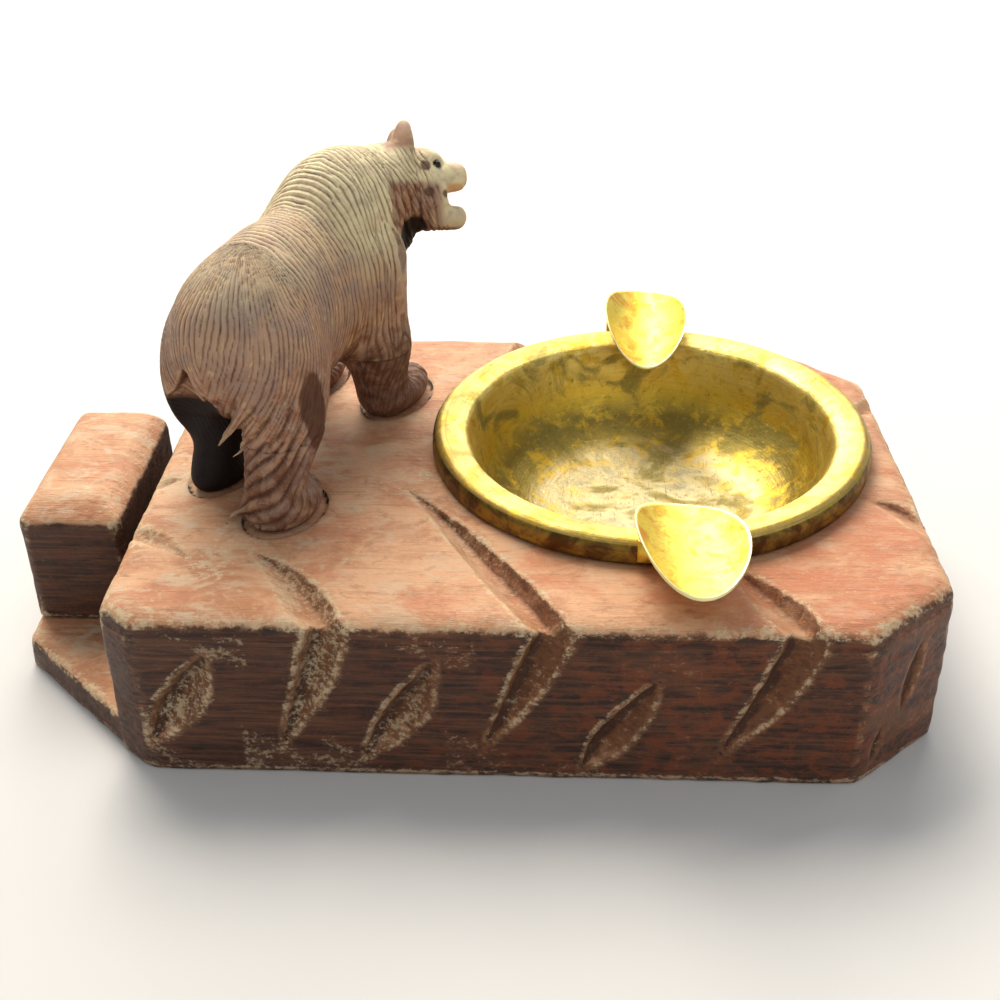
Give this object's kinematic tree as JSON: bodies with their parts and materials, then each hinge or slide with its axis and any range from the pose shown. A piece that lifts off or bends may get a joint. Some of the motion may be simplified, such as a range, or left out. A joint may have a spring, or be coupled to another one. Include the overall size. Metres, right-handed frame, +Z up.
{
  "type": "carved bear ashtray",
  "caption": "Wooden desk ashtray: gouged base with a carved standing bear, a round brass bowl with bent cigarette rests, and an end block that carries a matchbox",
  "frame": {"origin": "centre of the flat underside of the wooden base, at table level", "axes": "+X along the base from the matchbox ledge to the right end, +Y from the front face to the back face, +Z up"},
  "size_m": [0.2196, 0.1452, 0.1141],
  "materials": {
    "base_wood": "stained red-brown, dry and worn, pale dust on the worn edges",
    "block_wood": "stained red-brown, worn on top",
    "bear_wood": "carved, greyish brown stain worn pale on the ridges",
    "bowl_brass": "spun brass with olive and grey patina inside",
    "rest_brass": "bright scratched brass with an orange tinge"
  },
  "bodies": {
    "root": {"wood_base": "base_wood", "match_block": "block_wood", "bear": "bear_wood", "brass_bowl": "bowl_brass", "cigarette_rest_front": "rest_brass", "cigarette_rest_back": "rest_brass"}
  },
  "joints": []
}
